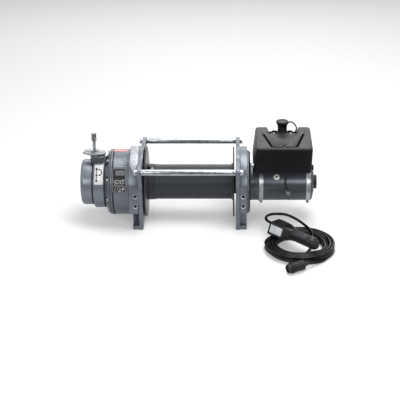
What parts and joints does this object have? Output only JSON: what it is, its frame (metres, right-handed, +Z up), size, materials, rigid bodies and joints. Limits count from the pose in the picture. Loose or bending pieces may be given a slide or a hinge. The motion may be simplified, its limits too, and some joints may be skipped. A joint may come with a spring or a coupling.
{
  "type": "electric winch",
  "caption": "Electric winch: a flanged drum between two footed supports and tie rods, with a gear housing, motor, control pack and corded hand control.",
  "frame": {"origin": "centre of the four foot bolt holes, in the plane on which the feet stand", "axes": "+X along the drum axis from the gear end to the motor, +Y to the back, +Z up"},
  "size_m": [0.818, 0.5841, 0.307],
  "materials": {
    "cast_paint": "satin blue-grey paint over a casting",
    "lever_metal": "cast, matte",
    "bright_steel": "bright zinc plate",
    "rod_steel": "polished",
    "band_steel": "bright",
    "drum_coat": "satin charcoal",
    "flange_steel": "satin",
    "motor_paint": "satin slate",
    "black_paint": "satin",
    "pack_plastic": "fine textured",
    "black_plastic": "moulded",
    "black_rubber": "matte",
    "hand_plastic": "moulded",
    "grip_plastic": "ribbed",
    "grey_plate": "satin",
    "black_plate": "printed film, bare of text",
    "red_strip": "film, bare of text",
    "white_plate": "film with a plain arrow",
    "white_insulator": "moulded"
  },
  "bodies": {
    "winch_frame": {"gear_end_cap": "cast_paint", "clutch_ring": "cast_paint", "bolted_ring": "cast_paint", "bolted_ring_screws": "bright_steel", "gear_housing": "cast_paint", "housing_plate": "black_plate", "housing_top_strip": "red_strip", "clutch_ring_label": "white_plate", "clutch_block": "cast_paint", "drum_support_left": "cast_paint", "drum_support_right": "cast_paint", "tie_rod_front": "rod_steel", "tie_rod_rear": "rod_steel", "tie_rod_bolts_left": "bright_steel", "tie_rod_bolts_right": "bright_steel", "motor_flange_disc": "cast_paint", "motor_mount_disc": "black_paint", "motor_body": "motor_paint", "motor_band_left": "band_steel", "motor_band_right": "band_steel", "motor_band_screws": "bright_steel", "motor_end_bell": "black_paint", "motor_end_plug": "black_plastic", "terminal_insulator": "white_insulator", "terminal_nut": "bright_steel", "earth_stud": "bright_steel", "earth_lead": "black_rubber", "pack_saddle": "black_paint", "pack_base_plate": "black_paint", "pack_cover": "pack_plastic", "pack_side_screw": "bright_steel", "pack_side_latch": "pack_plastic", "socket_plate": "black_plastic", "socket_screws": "bright_steel", "socket_body": "black_plastic", "socket_cap": "black_rubber", "cap_tether": "black_rubber", "hand_control_head": "hand_plastic", "hand_control_handle": "grip_plastic", "hand_control_plate": "grey_plate", "hand_control_gland": "black_rubber", "cord_tail": "black_rubber", "cord_lead": "black_rubber", "cord_coil": "black_rubber", "cord_plug": "black_plastic", "cord_plug_ring": "black_plastic"},
    "drum": {"drum_barrel": "drum_coat", "drum_flange_left": "flange_steel", "drum_flange_right": "flange_steel", "rope_anchor_screw": "bright_steel"},
    "clutch_lever": {"clutch_lever": "lever_metal", "clutch_pivot": "bright_steel", "clutch_post": "bright_steel", "clutch_spring": "bright_steel"}
  },
  "joints": [
    {"name": "drum_spin", "type": "hinge", "parent": "winch_frame", "child": "drum", "pos_m": [0, 0, 0.122], "axis": [1, 0, 0], "continuous": true},
    {"name": "clutch_turn", "type": "hinge", "parent": "winch_frame", "child": "clutch_lever", "pos_m": [-0.311, 0, 0.2223], "axis": [0, 0, -1], "range_deg": [0, 90]}
  ]
}
